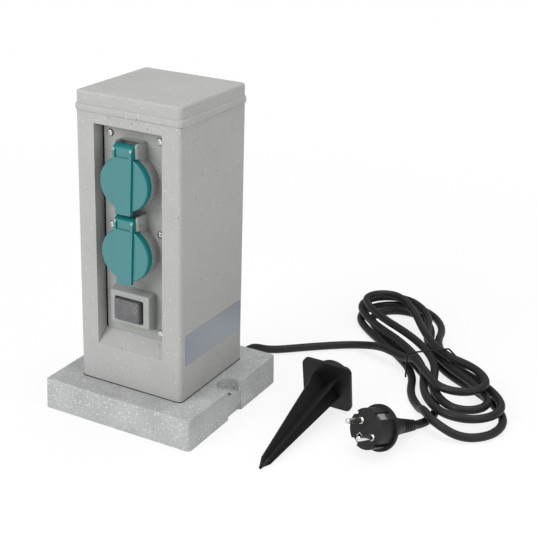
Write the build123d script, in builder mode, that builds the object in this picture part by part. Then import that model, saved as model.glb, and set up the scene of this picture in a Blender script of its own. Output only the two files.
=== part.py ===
from build123d import *
from math import atan, cos, degrees, hypot, pi, radians, sin, sqrt, tan
import os

os.makedirs("parts", exist_ok=True)

# A garden socket post: a square column on a plinth, two flap-lidded outlets and a switch in a
# recessed front, a mains cord wound into a hank, its plug, and a loose ground spike.
# Millimetres, +Z up, front towards -Y, origin at the centre of the plinth's underside.

# Column and plinth
plinth_side = 160.0
plinth_top_side = 158.4
plinth_height = 30.0
plinth_wall = 5.0
plinth_ceiling = 5.0
plinth_corner = 4.0
plinth_edge = 1.6
post_side = 110.0
post_top_side = 108.3
post_top_level = 285.6
post_wall = 3.0
post_corner = 4.5
post_floor = 4.0
spigot_side = 104.4
spigot_wall = 1.8
spigot_height = 5.0
cap_side = 108.4
cap_height = 18.3
cap_edge = 2.4
cap_roof = 3.0
cap_rim_height = 7.5
cap_rim_overhang = 1.5
cap_rim_round = 2.6

# Clearances, and the one overrun that every cut uses
fit_gap = 0.3
pin_gap = 0.05
overrun = 1.0

# Recessed front window
window_width = 70.0
window_bottom = 68.5
window_top = 277.0
panel_recess = 12.5
panel_thickness = 3.0
panel_side_gap = 2.5
panel_corner = 1.5
sill_rise = 12.0
sill_front = 0.5
reveal_wall = 2.5
reveal_start = 2.0
ledge_wall = 2.6
ledge_side = 9.0
ledge_under_switch = 15.9
ledge_over_tube = 9.6

# Outlets and switch: their places and the round that shows
socket_level = 164.4
socket_pitch = 65.2
socket_names = ["lower", "upper"]
collar_r = 24.4
tube_r = 22.8
switch_x = -0.9
switch_level = 108.9

# The cord's way out of the plinth and its gland
cord_r = 4.1
exit_x = 34.0
exit_level = 12.0
gland_flange_r = 9.0
gland_flange = 3.0
gland_seat_gap = 0.08
gland_thread_r = 6.5
gland_thread_past = 1.4
gland_nut_height = 3.6

panel_y = panel_recess - post_side / 2
panel_back_y = panel_y + panel_thickness
ledge_back_y = panel_back_y + ledge_wall
post_height = post_top_level - plinth_height
plinth_lean = (plinth_side - plinth_top_side) / 2 / plinth_height
plinth_draft = degrees(atan(plinth_lean))
post_draft = degrees(atan((post_side - post_top_side) / 2 / post_height))
ceiling_level = plinth_height - plinth_ceiling
sill_top = window_bottom + sill_rise
socket_levels = [socket_level + k * socket_pitch for k in range(len(socket_names))]

# The gland's flange seats on the leaning wall at whichever of its edges stands out further
plinth_inside_y = plinth_side / 2 - plinth_wall
flange_stand_out = max(-plinth_lean * (exit_level - gland_flange_r),
                       -plinth_lean * (exit_level + gland_flange_r))
gland_y = plinth_side / 2 + gland_seat_gap + flange_stand_out
gland_thread_length = gland_y - plinth_inside_y + gland_nut_height + gland_thread_past


def front_plane(y, z=0, x=0):
    """Plane square to the front: local x is X, local y is Z, and it faces -Y."""
    return Plane(origin=(x, y, z), x_dir=(1, 0, 0), z_dir=(0, -1, 0))


def side_plane(x, y=0, z=0):
    """Plane square to X: local x is Y, local y is Z, and it faces +X."""
    return Plane(origin=(x, y, z), x_dir=(0, 1, 0), z_dir=(1, 0, 0))


def save(part, name):
    part.label = name
    export_step(part, "parts/" + name + ".step")


def tube_along(wire, radius):
    """A plain round tube along a wire."""
    with BuildPart() as tube:
        with BuildSketch(Plane(origin=wire @ 0, z_dir=wire % 0)):
            Circle(radius)
        sweep(path=wire)
    return tube.part


# Plinth: a hollow foot with a screw seat in the middle of two sides, and the way out for the cord
fixing_place = 73.0
fixing_seat_r = 12.0
fixing_seat_floor = 20.0
fixing_hole_r = 2.6
fixing_flute_width = 24.0
fixing_flute_depth = 3.0
fixing_flute_round = 2.5
fixing_block_depth = 30.0
fixing_block_width = 33.0
cable_hole_r = 7.0
cable_hole_y = 30.0
gland_hole_r = 6.8
base_screw_place = 66.0
base_screw_r = 1.75
base_screw_head_r = 3.4
base_screw_head = 1.3
base_screw_length = 12.0
base_boss_r = 6.5
base_plate_level = 1.6
base_plate_thickness = 2.0
clamp_post_r = 3.5
clamp_post_place = 9.5
clamp_from_wall = 15.0
clamp_bar_height = 2.4
clamp_bar_width = 8.0
clamp_bar_length = 28.0
clamp_screw_r = 1.4
clamp_screw_head_r = 2.6
clamp_screw_head = 1.1
clamp_screw_length = 11.0
post_screw_place = 40.0
post_screw_r = 2.0
post_screw_head_r = 4.0
post_screw_head = 2.4
post_screw_length = 17.0
post_boss_r = 5.0
post_boss_height = 14.0

base_plate_top = base_plate_level + base_plate_thickness
clamp_bar_top = exit_level - cord_r - fit_gap
clamp_y = plinth_inside_y - clamp_from_wall
clamp_points = [(exit_x - clamp_post_place, clamp_y), (exit_x + clamp_post_place, clamp_y)]
fixing_points = [(-fixing_place, 0), (fixing_place, 0)]

with BuildPart() as plinth:
    with BuildSketch(Plane.XY):
        RectangleRounded(plinth_side, plinth_side, plinth_corner)
    extrude(amount=plinth_height, taper=plinth_draft)
    fillet(plinth.edges().group_by(Axis.Z)[-1], radius=plinth_edge)
    with BuildSketch(Plane.XY):
        Rectangle(plinth_side - 2 * plinth_wall, plinth_side - 2 * plinth_wall)
    extrude(amount=ceiling_level, mode=Mode.SUBTRACT)
    with BuildSketch(Plane.XY):
        with Locations(*fixing_points):
            Rectangle(fixing_block_depth, fixing_block_width)
        Rectangle(plinth_side - plinth_wall, plinth_side - plinth_wall, mode=Mode.INTERSECT)
    extrude(amount=ceiling_level + overrun)
    with BuildSketch(Plane.XY.offset(base_plate_top)):
        with GridLocations(2 * base_screw_place, 2 * base_screw_place, 2, 2):
            Circle(base_boss_r)
    extrude(amount=ceiling_level - base_plate_top + overrun)
    with BuildSketch(Plane.XY.offset(clamp_bar_top)):
        with Locations(*clamp_points):
            Circle(clamp_post_r)
    extrude(amount=ceiling_level - clamp_bar_top + overrun)
    with Locations(*[(x, y, plinth_height) for x, y in fixing_points]):
        CounterBoreHole(fixing_hole_r, fixing_seat_r, plinth_height - fixing_seat_floor, plinth_height)
    for side in (-1, 1):
        with BuildSketch(Plane.XY):
            with Locations((side * (plinth_side * 3 / 4 - fixing_flute_depth), 0)):
                RectangleRounded(plinth_side / 2, fixing_flute_width, fixing_flute_round)
        extrude(amount=plinth_height + overrun, mode=Mode.SUBTRACT)
    with BuildSketch(Plane.XY.offset(base_plate_top)):
        with GridLocations(2 * base_screw_place, 2 * base_screw_place, 2, 2):
            Circle(base_screw_r + pin_gap)
    extrude(amount=base_screw_length, mode=Mode.SUBTRACT)
    with BuildSketch(Plane.XY.offset(clamp_bar_top)):
        with Locations(*clamp_points):
            Circle(clamp_screw_r + pin_gap)
    extrude(amount=clamp_screw_length, mode=Mode.SUBTRACT)
    with BuildSketch(Plane.XY.offset(ceiling_level - overrun)):
        with GridLocations(2 * post_screw_place, 2 * post_screw_place, 2, 2):
            Circle(post_screw_r + fit_gap)
        with Locations((exit_x, cable_hole_y)):
            Circle(cable_hole_r)
    extrude(amount=plinth_ceiling + 2 * overrun, mode=Mode.SUBTRACT)
    with BuildSketch(front_plane(gland_y + overrun)):
        with Locations((exit_x, exit_level)):
            Circle(gland_hole_r)
    extrude(amount=gland_y - plinth_inside_y + 2 * overrun, mode=Mode.SUBTRACT)
save(plinth.part, "plinth")

# Base plate: closes the plinth and carries the round socket that drops over the spike's boss
spike_boss_r = 18.0
spike_bore_gap = 0.4
spike_bore_depth = 14.0
spike_cup_wall = 2.4

with BuildPart() as base_plate:
    with BuildSketch(Plane.XY.offset(base_plate_level)):
        Rectangle(*2 * [plinth_side - 2 * plinth_wall - 2 * fit_gap])
        with Locations(*fixing_points):
            Rectangle(fixing_block_depth + 2 * fit_gap, fixing_block_width + 2 * fit_gap,
                      mode=Mode.SUBTRACT)
        with GridLocations(2 * base_screw_place, 2 * base_screw_place, 2, 2):
            Circle(base_screw_r + fit_gap, mode=Mode.SUBTRACT)
    extrude(amount=base_plate_thickness)
    with BuildSketch(Plane.XY):
        Circle(spike_boss_r + spike_bore_gap + spike_cup_wall)
    extrude(amount=spike_bore_depth + spike_cup_wall)
    with BuildSketch(Plane.XY):
        Circle(spike_boss_r + spike_bore_gap)
    extrude(amount=spike_bore_depth, mode=Mode.SUBTRACT)
save(base_plate.part, "base_plate")


def screws_up(level, grid, shank_r, shank, head_r, head):
    """Pan-head screws that point up: the head's upper face lies at the level."""
    with BuildPart() as group:
        with BuildSketch(Plane.XY.offset(level)):
            with Locations(*grid):
                Circle(head_r)
        extrude(amount=-head)
        fillet(group.edges().group_by(Axis.Z)[0], radius=head / 2)
        with BuildSketch(Plane.XY.offset(level)):
            with Locations(*grid):
                Circle(shank_r)
        extrude(amount=shank)
    return group.part


def corners(place):
    return [(x, y) for x in (-place, place) for y in (-place, place)]


save(screws_up(base_plate_level, corners(base_screw_place), base_screw_r, base_screw_length,
               base_screw_head_r, base_screw_head), "base_screws")
save(screws_up(ceiling_level, corners(post_screw_place), post_screw_r, post_screw_length,
               post_screw_head_r, post_screw_head), "post_screws")
save(screws_up(clamp_bar_top - clamp_bar_height, clamp_points, clamp_screw_r, clamp_screw_length,
               clamp_screw_head_r, clamp_screw_head), "clamp_screws")

with BuildPart() as cord_clamp:
    with BuildSketch(Plane.XY.offset(clamp_bar_top)):
        with Locations((exit_x, clamp_y)):
            SlotOverall(clamp_bar_length, clamp_bar_width)
        with Locations(*clamp_points):
            Circle(clamp_screw_r + fit_gap, mode=Mode.SUBTRACT)
    extrude(amount=-clamp_bar_height)
save(cord_clamp.part, "cord_clamp")

# Post: a drafted square shell with a floor, the recess for the outlets and a spigot for the cap
panel_screw_r = 1.45
panel_screw_head_r = 2.9
panel_screw_head = 1.6
panel_screw_length = 9.0
panel_screw_margin = 6.8
panel_screw_sill_rise = 7.5
panel_screw_top_drop = 9.5
panel_screw_collar_gap = 7.32
panel_boss_r = 4.0
panel_boss_length = 8.0
cross_slot_width = 0.8
cross_slot_length = 3.2
cross_slot_depth = 0.9
panel_screw_x = window_width / 2 - panel_side_gap - panel_screw_margin
# Five screws: the switch's surround leaves no room for one at the bottom left
panel_screw_rise = sqrt(max((collar_r + panel_screw_collar_gap) ** 2 - panel_screw_x ** 2, 0))
panel_screw_levels = [
    sill_top + panel_screw_sill_rise,
    socket_level + panel_screw_rise,
    window_top - panel_screw_top_drop,
]
panel_screw_corners = [(x, z) for z in panel_screw_levels for x in (-panel_screw_x, panel_screw_x)]
panel_screw_points = panel_screw_corners[1:]
ledge_open_width = window_width - 2 * ledge_side
ledge_open_bottom = switch_level - ledge_under_switch
ledge_open_top = socket_levels[-1] + tube_r + ledge_over_tube

window_front_y = -post_side / 2
sill_lip_y = window_front_y + sill_front

with BuildPart() as post:
    with BuildSketch(Plane.XY.offset(plinth_height)):
        RectangleRounded(post_side, post_side, post_corner)
    extrude(amount=post_height, taper=post_draft)
    with BuildSketch(Plane.XY.offset(post_top_level)):
        RectangleRounded(spigot_side, spigot_side, post_corner)
    extrude(amount=spigot_height)
    with BuildSketch(Plane.XY.offset(plinth_height + post_floor)):
        RectangleRounded(post_side - 2 * post_wall, post_side - 2 * post_wall, post_corner)
    extrude(amount=post_height - post_floor, taper=post_draft, mode=Mode.SUBTRACT)
    with BuildSketch(Plane.XY.offset(post_top_level - overrun)):
        RectangleRounded(*2 * [spigot_side - 2 * spigot_wall], post_corner)
    extrude(amount=spigot_height + 2 * overrun, mode=Mode.SUBTRACT)
    with BuildSketch(side_plane(-window_width / 2 - reveal_wall)):
        with BuildLine():
            Polyline(
                (window_front_y + reveal_start, window_bottom - reveal_wall),
                (ledge_back_y, sill_top + ledge_wall - reveal_wall / 2),
                (ledge_back_y, window_top + reveal_wall),
                (window_front_y + reveal_start, window_top + reveal_wall),
                close=True,
            )
        make_face()
    extrude(amount=window_width + 2 * reveal_wall)
    with BuildSketch(side_plane(-window_width / 2)):
        with BuildLine():
            Polyline(
                (window_front_y - overrun, window_bottom),
                (sill_lip_y, window_bottom),
                (panel_y, sill_top),
                (panel_back_y, sill_top),
                (panel_back_y, window_top),
                (window_front_y - overrun, window_top),
                close=True,
            )
        make_face()
    extrude(amount=window_width, mode=Mode.SUBTRACT)
    with BuildSketch(front_plane(panel_back_y - overrun)):
        with Locations((0, (ledge_open_bottom + ledge_open_top) / 2)):
            Rectangle(ledge_open_width, ledge_open_top - ledge_open_bottom)
    extrude(amount=-ledge_wall - 2 * overrun, mode=Mode.SUBTRACT)
    with BuildSketch(front_plane(panel_back_y)):
        with Locations(*panel_screw_points):
            Circle(panel_boss_r)
    extrude(amount=-panel_boss_length)
    with BuildSketch(front_plane(panel_back_y)):
        with Locations(*panel_screw_points):
            Circle(panel_screw_r + pin_gap)
    extrude(amount=-panel_boss_length - overrun, mode=Mode.SUBTRACT)
    with BuildSketch(Plane.XY.offset(plinth_height + post_floor)):
        with GridLocations(2 * post_screw_place, 2 * post_screw_place, 2, 2):
            Circle(post_boss_r)
    extrude(amount=post_boss_height)
    with BuildSketch(Plane.XY.offset(plinth_height)):
        with GridLocations(2 * post_screw_place, 2 * post_screw_place, 2, 2):
            Circle(post_screw_r + pin_gap)
    extrude(amount=post_floor + post_boss_height - post_wall, mode=Mode.SUBTRACT)
    with BuildSketch(Plane.XY.offset(plinth_height - overrun)):
        with Locations((exit_x, cable_hole_y)):
            Circle(cable_hole_r)
    extrude(amount=post_floor + 2 * overrun, mode=Mode.SUBTRACT)
save(post.part, "post")

# Top cap: a square lid with a round bead for its rim, hollow over the spigot
with BuildPart() as cap_bead:
    with BuildSketch(Plane.XY.offset(post_top_level)):
        RectangleRounded(*2 * [cap_side + 2 * cap_rim_overhang], post_corner + cap_rim_overhang)
    extrude(amount=cap_rim_height)
    fillet(cap_bead.edges().group_by(Axis.Z)[-1], radius=cap_rim_round)
    fillet(cap_bead.edges().group_by(Axis.Z)[0], radius=cap_rim_round)

with BuildPart() as top_cap:
    with BuildSketch(Plane.XY.offset(post_top_level)):
        RectangleRounded(cap_side, cap_side, post_corner)
    extrude(amount=cap_height)
    fillet(top_cap.edges().group_by(Axis.Z)[-1], radius=cap_edge)
    add(cap_bead.part)
    with BuildSketch(Plane.XY.offset(post_top_level)):
        RectangleRounded(*2 * [spigot_side + 2 * fit_gap], post_corner)
    extrude(amount=cap_height - cap_roof, mode=Mode.SUBTRACT)
save(top_cap.part, "top_cap")

# Outlets: sizes that both share, measured from the centre of each outlet's face
collar_proud = 11.5
collar_edge = 1.2
recess_r = 19.75
recess_depth = 17.5
outlet_floor = 3.0
tube_gap = 0.5
contact_place = 9.5
pin_hole_r = 2.75
guide_rib_height = 4.8
guide_rib_depth = 1.6
guide_rib_start = 2.0
clip_place = 18.2
clip_thickness = 1.0
clip_width = 7.0
clip_start = 4.0
hinge_rise = 28.3
hinge_back = 0.5
hinge_pin_r = 1.4
hinge_pin_sunk = 0.4
ear_inner = 10.3
ear_thickness = 1.9
ear_front = 4.8
ear_drop = 5.2
ear_top_round = 3.0
ear_foot_round = 1.8
ear_bore_gap = 0.02
bracket_rise = 8.0
bracket_foot = 8.3
bracket_edge = 0.9
roof_depth = 6.6
block_sweep_r = 8.95
notch_r = 6.6
notch_width = 2.7
barrel_gap = 0.4
lid_r = 24.8
lid_height = 6.6
lid_edge = 1.6
lid_wall = 1.8
barrel_r = 3.4
block_rise = 6.3
block_curl_r = 6.0
block_back = 0.5
block_foot = 6.5
strap_foot_width = 15.6
strap_reach = 27.0
strap_proud = 2.0
strap_corner = 0.8
pocket_width = 15.0
pocket_up = 4.6
pocket_down = 4.2
pocket_depth = 1.5
pocket_corner = 0.8
spring_length = 6.0
spring_r = 2.2
spring_wall = 0.6
gasket_inner_r = 20.4
gasket_outer_r = 22.4
carrier_r = 21.6
carrier_depth = 19.0
contact_r = 3.4
contact_bore_r = 2.45
contact_length = 14.0
contact_end = 1.0
tail_r = 1.4
tail_out = 5.5
groove_depth = 2.2
carrier_screw_x = 14.0
carrier_screw_z = 11.0
carrier_screw_r = 1.2
carrier_screw_bite = 2.0
carrier_screw_head_r = 2.3
carrier_screw_head = 1.5

collar_front_y = panel_y - collar_proud
recess_floor_y = collar_front_y + recess_depth
collar_back_y = recess_floor_y + outlet_floor
hinge_y = collar_front_y + hinge_back
lid_back_y = collar_front_y - fit_gap
lid_front_y = lid_back_y - lid_height
lid_hollow_y = lid_front_y + lid_wall
strap_front_y = lid_front_y - strap_proud
barrel_half = ear_inner - barrel_gap
bracket_half = ear_inner + ear_thickness
bracket_back = panel_y - hinge_y
hinge_pin_length = 2 * (bracket_half - hinge_pin_sunk)
curl_start = block_rise - block_curl_r
block_front = strap_front_y - hinge_y
lid_front = lid_front_y - hinge_y
lid_back = lid_back_y - hinge_y
carrier_front_y = collar_back_y + fit_gap
carrier_back_y = carrier_front_y + carrier_depth
tail_end_y = carrier_back_y + tail_out
contact_places = [(-contact_place, 0), (contact_place, 0)]
carrier_screw_places = [(-carrier_screw_x, -carrier_screw_z), (carrier_screw_x, carrier_screw_z)]
bar_y = carrier_front_y + groove_depth / 4
bar_back_y = carrier_front_y + groove_depth * 3 / 4

for name, level in zip(socket_names, socket_levels):
    hinge_level = level + hinge_rise
    hinge_axis = side_plane(0, hinge_y, hinge_level)

    # Hinge bracket: two thin ears with a small roof and a web, cleared for the turning lid
    with BuildPart() as hinge_bracket:
        for side in (-1, 1):
            with BuildSketch(side_plane(side * (ear_inner + ear_thickness / 2), hinge_y, hinge_level)) as ear:
                with Locations(((bracket_back - ear_front) / 2, (bracket_rise - ear_drop) / 2)):
                    Rectangle(bracket_back + ear_front, bracket_rise + ear_drop)
                fillet(ear.vertices().group_by(Axis.X)[0].sort_by(Axis.Y)[-1], radius=ear_top_round)
                fillet(ear.vertices().group_by(Axis.X)[0].sort_by(Axis.Y)[0], radius=ear_foot_round)
            extrude(amount=ear_thickness / 2, both=True)
        with BuildSketch(front_plane(panel_y, hinge_level)):
            with Locations((0, (bracket_rise - ear_drop) / 2)):
                Rectangle(2 * bracket_half, bracket_rise + ear_drop)
        extrude(amount=bracket_back)
        top_edges = hinge_bracket.edges().filter_by(Axis.Y).group_by(Axis.Z)[-1].sort_by(Axis.X)
        fillet([top_edges[0], top_edges[-1]], radius=bracket_edge)
        with BuildSketch(side_plane(0, hinge_y, hinge_level)):
            Circle(block_sweep_r)
            with Locations(((bracket_back - roof_depth - block_sweep_r) / 2, 0)):
                Rectangle(bracket_back - roof_depth + block_sweep_r, 2 * block_sweep_r)
        extrude(amount=ear_inner, both=True, mode=Mode.SUBTRACT)

    # Collar: the round recess, its floor and the hinge bracket
    with BuildPart() as collar:
        with BuildSketch(front_plane(panel_y, level)):
            Circle(collar_r)
        extrude(amount=collar_proud)
        fillet(collar.edges().group_by(Axis.Y)[0], radius=collar_edge)
        with BuildSketch(front_plane(panel_y, level)):
            Circle(tube_r)
        extrude(amount=panel_y - collar_back_y)
        add(hinge_bracket.part)
        with BuildSketch(front_plane(panel_y, hinge_level)):
            with Locations((0, -(bracket_foot + barrel_r + barrel_gap) / 2)):
                Rectangle(2 * bracket_half, bracket_foot - barrel_r - barrel_gap)
        extrude(amount=bracket_back)
        with BuildSketch(front_plane(collar_front_y - overrun, level)):
            Circle(recess_r)
        extrude(amount=-recess_depth - overrun, mode=Mode.SUBTRACT)
        with BuildSketch(hinge_axis):
            Circle(hinge_pin_r + ear_bore_gap)
        extrude(amount=bracket_half + overrun, both=True, mode=Mode.SUBTRACT)
        with BuildSketch(front_plane(recess_floor_y - overrun, level)):
            with Locations(*contact_places):
                Circle(pin_hole_r)
            with Locations((0, -clip_place - clip_thickness / 2), (0, clip_place + clip_thickness / 2)):
                Rectangle(clip_width + 2 * fit_gap, clip_thickness + 2 * fit_gap)
        extrude(amount=-outlet_floor - 2 * overrun, mode=Mode.SUBTRACT)
        with BuildSketch(front_plane(collar_back_y, level)):
            with Locations(*carrier_screw_places):
                Circle(carrier_screw_r + pin_gap)
        extrude(amount=carrier_screw_bite + fit_gap, mode=Mode.SUBTRACT)
        with BuildSketch(front_plane(collar_front_y + guide_rib_start, level)):
            with Locations((-recess_r, 0), (recess_r, 0)):
                Rectangle(2 * guide_rib_depth, guide_rib_height)
        extrude(amount=guide_rib_start - recess_depth)
    save(collar.part, "outlet_collar_" + name)

    # Carrier: the moulded block behind the collar that holds the contacts
    with BuildPart() as carrier:
        with BuildSketch(front_plane(carrier_front_y, level)):
            Circle(carrier_r)
        extrude(amount=-carrier_depth)
        with BuildSketch(front_plane(carrier_front_y, level)):
            Rectangle(clip_width + 2 * fit_gap, 2 * carrier_r)
        extrude(amount=-groove_depth, mode=Mode.SUBTRACT)
        with BuildSketch(front_plane(carrier_front_y, level)):
            with Locations(*contact_places):
                Circle(contact_r + fit_gap)
        extrude(amount=-contact_length - 2 * fit_gap, mode=Mode.SUBTRACT)
        with BuildSketch(front_plane(carrier_front_y, level)):
            with Locations(*contact_places, (0, 0)):
                Circle(tail_r + fit_gap)
            with Locations(*carrier_screw_places):
                Circle(carrier_screw_r + fit_gap)
        extrude(amount=-carrier_depth, mode=Mode.SUBTRACT)
    save(carrier.part, "contact_carrier_" + name)

    # Pin contacts: two sleeves with solder tails
    with BuildPart() as contacts:
        with BuildSketch(front_plane(carrier_front_y + fit_gap, level)):
            with Locations(*contact_places):
                Circle(contact_r)
        extrude(amount=-contact_length)
        with BuildSketch(front_plane(carrier_front_y + fit_gap, level)):
            with Locations(*contact_places):
                Circle(contact_bore_r)
        extrude(amount=contact_end - contact_length, mode=Mode.SUBTRACT)
        with BuildSketch(front_plane(carrier_front_y + fit_gap + contact_length, level)):
            with Locations(*contact_places):
                Circle(tail_r)
        extrude(amount=carrier_front_y + fit_gap + contact_length - tail_end_y)
    save(contacts.part, "pin_contacts_" + name)

    # Earth spring: two strips in the recess, joined by a bar behind the floor, with one tail
    with BuildPart() as earth_spring:
        with BuildSketch(front_plane(bar_back_y, level)):
            Rectangle(clip_width, 2 * (clip_place + clip_thickness))
        extrude(amount=bar_back_y - bar_y)
        with BuildSketch(front_plane(bar_y, level)):
            with Locations((0, -clip_place - clip_thickness / 2), (0, clip_place + clip_thickness / 2)):
                Rectangle(clip_width, clip_thickness)
        extrude(amount=bar_y - collar_front_y - clip_start)
        with BuildSketch(front_plane(bar_back_y, level)):
            Circle(tail_r)
        extrude(amount=bar_back_y - tail_end_y)
    save(earth_spring.part, "earth_spring_" + name)

    with BuildPart() as carrier_screws:
        with BuildSketch(front_plane(carrier_back_y, level)):
            with Locations(*carrier_screw_places):
                Circle(carrier_screw_head_r)
        extrude(amount=-carrier_screw_head)
        with BuildSketch(front_plane(carrier_back_y, level)):
            with Locations(*carrier_screw_places):
                Circle(carrier_screw_r)
        extrude(amount=carrier_back_y - collar_back_y + carrier_screw_bite)
    save(carrier_screws.part, "carrier_screws_" + name)

    # Lid: a hollow disc with a raised strap that runs from the hinge block to a finger lip. The
    # disc's rim is scooped where the ears stand, so that it clears them as it turns
    with BuildPart() as lid:
        with BuildSketch(front_plane(lid_back_y, level)):
            Circle(lid_r)
        extrude(amount=lid_height)
        fillet(lid.edges().group_by(Axis.Y)[0], radius=lid_edge)
        for side in (-1, 1):
            with BuildSketch(side_plane(side * (barrel_half + notch_width / 2), hinge_y, hinge_level)):
                Circle(notch_r)
            extrude(amount=notch_width / 2, both=True, mode=Mode.SUBTRACT)
        with BuildSketch(hinge_axis):
            with BuildLine():
                start = Line((lid_front, -block_foot), (lid_front, curl_start))
                front = Line(start @ 1, (block_front, curl_start))
                TangentArc(front @ 1, (block_front + block_curl_r, block_rise), tangent=(0, 1))
                Polyline(
                    (block_front + block_curl_r, block_rise),
                    (block_back, block_rise),
                    (barrel_r, barrel_r),
                    (barrel_r, 0),
                    (0, -barrel_r),
                    (lid_back, -barrel_r),
                    (lid_back, -block_foot),
                    start @ 0,
                )
            make_face()
            Circle(barrel_r)
        extrude(amount=barrel_half, both=True)
        with BuildSketch(front_plane(lid_back_y + overrun, level)):
            Circle(lid_r - lid_wall)
        extrude(amount=lid_height - lid_wall + overrun, mode=Mode.SUBTRACT)
        with BuildSketch(front_plane(lid_hollow_y, level)) as strap:
            with BuildLine():
                Polyline(
                    (-barrel_half, hinge_rise + curl_start),
                    (barrel_half, hinge_rise + curl_start),
                    (strap_foot_width / 2, -strap_reach),
                    (-strap_foot_width / 2, -strap_reach),
                    close=True,
                )
            make_face()
            fillet(strap.vertices().group_by(Axis.Y)[0], radius=strap_corner)
        extrude(amount=lid_wall + strap_proud)
        with BuildSketch(hinge_axis):
            Circle(hinge_pin_r + pin_gap)
        extrude(amount=barrel_half + overrun, both=True, mode=Mode.SUBTRACT)
        with BuildSketch(hinge_axis):
            Circle(spring_r + fit_gap)
        extrude(amount=spring_length / 2 + fit_gap, both=True, mode=Mode.SUBTRACT)
        with BuildSketch(front_plane(strap_front_y + pocket_depth, hinge_level)):
            with Locations((0, (pocket_up - pocket_down) / 2)):
                RectangleRounded(pocket_width, pocket_up + pocket_down, pocket_corner)
        extrude(amount=pocket_depth + overrun, mode=Mode.SUBTRACT)
    save(lid.part, "lid_" + name)

    with BuildPart() as gasket:
        with BuildSketch(front_plane(lid_hollow_y, level)):
            Circle(gasket_outer_r)
            Circle(gasket_inner_r, mode=Mode.SUBTRACT)
        extrude(amount=lid_hollow_y - lid_back_y + pin_gap)
    save(gasket.part, "lid_gasket_" + name)

    with BuildPart() as hinge_pin:
        with BuildSketch(hinge_axis):
            Circle(hinge_pin_r)
        extrude(amount=hinge_pin_length / 2, both=True)
    save(hinge_pin.part, "hinge_pin_" + name)

    with BuildPart() as lid_spring:
        with BuildSketch(hinge_axis):
            Circle(spring_r)
            Circle(spring_r - spring_wall, mode=Mode.SUBTRACT)
        extrude(amount=spring_length / 2, both=True)
    save(lid_spring.part, "lid_spring_" + name)

# Switch: a raised surround, a rocker in its body, and a splash boot over them
bezel_width = 45.0
bezel_height = 36.6
bezel_shift_x = -0.7
bezel_shift_z = -0.6
bezel_front_width = 41.2
bezel_front_height = 31.3
bezel_front_shift_x = 0.8
bezel_front_shift_z = 1.0
bezel_proud = 11.5
bezel_edge = 1.0
bezel_floor = 2.0
boot_well_width = 30.7
boot_well_height = 23.0
boot_width = 26.6
boot_height = 20.6
boot_shift_x = -0.9
boot_shift_z = -0.2
boot_wall = 1.1
boot_proud = 3.5
boot_flange = 1.5
boot_round = 2.0
switch_body_width = 22.0
switch_body_height = 17.6
switch_body_front = 3.5
switch_body_back = 18.5
bay_width = 20.0
bay_height = 13.8
bay_depth = 10.0
rocker_width = 18.4
rocker_height = 13.0
rocker_reach = 9.6
rocker_dip = 1.2
rocker_thickness = 4.6
rocker_hub_r = 2.6
rocker_stem = 4.4
pivot_depth = 3.0
pivot_r = 1.4
pivot_length = 16.0
blade_place = 6.0
blade_thickness = 0.8
blade_height = 4.8
blade_length = 8.0

bezel_front_y = panel_y - bezel_proud
bezel_floor_y = panel_y - bezel_floor
boot_front_y = bezel_front_y - boot_proud
switch_front_y = panel_y - switch_body_front
switch_back_y = panel_y + switch_body_back
pivot_y = switch_front_y + pivot_depth
switch_hole = (switch_body_width + 2 * fit_gap, switch_body_height + 2 * fit_gap)

with BuildPart() as switch_bezel:
    with BuildSketch(front_plane(panel_y, switch_level + bezel_shift_z, switch_x + bezel_shift_x)):
        RectangleRounded(bezel_width, bezel_height, panel_corner)
    with BuildSketch(front_plane(bezel_front_y, switch_level + bezel_front_shift_z,
                                 switch_x + bezel_front_shift_x)):
        RectangleRounded(bezel_front_width, bezel_front_height, panel_corner)
    loft()
    fillet(switch_bezel.edges().group_by(Axis.Y)[0], radius=bezel_edge)
    with BuildSketch(front_plane(bezel_front_y - overrun, switch_level, switch_x)):
        RectangleRounded(boot_well_width, boot_well_height, panel_corner)
    extrude(amount=bezel_front_y - overrun - bezel_floor_y, mode=Mode.SUBTRACT)
    with BuildSketch(front_plane(panel_y, switch_level, switch_x)):
        Rectangle(*switch_hole)
    extrude(amount=bezel_floor, mode=Mode.SUBTRACT)
save(switch_bezel.part, "switch_bezel")

with BuildPart() as switch_boot:
    with BuildSketch(front_plane(bezel_floor_y, switch_level + boot_shift_z, switch_x + boot_shift_x)):
        Rectangle(boot_width, boot_height)
    extrude(amount=bezel_floor_y - boot_front_y)
    fillet(switch_boot.edges().filter_by(Axis.Y), radius=boot_round)
    fillet(switch_boot.edges().group_by(Axis.Y)[0], radius=boot_wall)
    with BuildSketch(front_plane(bezel_floor_y, switch_level, switch_x)):
        RectangleRounded(boot_well_width - 2 * fit_gap, boot_well_height - 2 * fit_gap, panel_corner)
    extrude(amount=boot_flange)
    with BuildSketch(front_plane(bezel_floor_y + overrun, switch_level + boot_shift_z,
                                 switch_x + boot_shift_x)):
        RectangleRounded(boot_width - 2 * boot_wall, boot_height - 2 * boot_wall, boot_round - boot_wall)
    extrude(amount=bezel_floor_y + overrun - boot_front_y - boot_wall, mode=Mode.SUBTRACT)
save(switch_boot.part, "switch_boot")

with BuildPart() as switch_body:
    with BuildSketch(front_plane(switch_front_y, switch_level, switch_x)):
        Rectangle(switch_body_width, switch_body_height)
    extrude(amount=switch_front_y - switch_back_y)
    with BuildSketch(front_plane(switch_front_y, switch_level, switch_x)):
        Rectangle(bay_width, bay_height)
    extrude(amount=-bay_depth, mode=Mode.SUBTRACT)
    with BuildSketch(Plane.XY.offset(switch_level)):
        with Locations((switch_x, pivot_y)):
            Circle(pivot_r + pin_gap)
    extrude(amount=pivot_length / 2 + pin_gap, both=True, mode=Mode.SUBTRACT)
save(switch_body.part, "switch_body")

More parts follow.
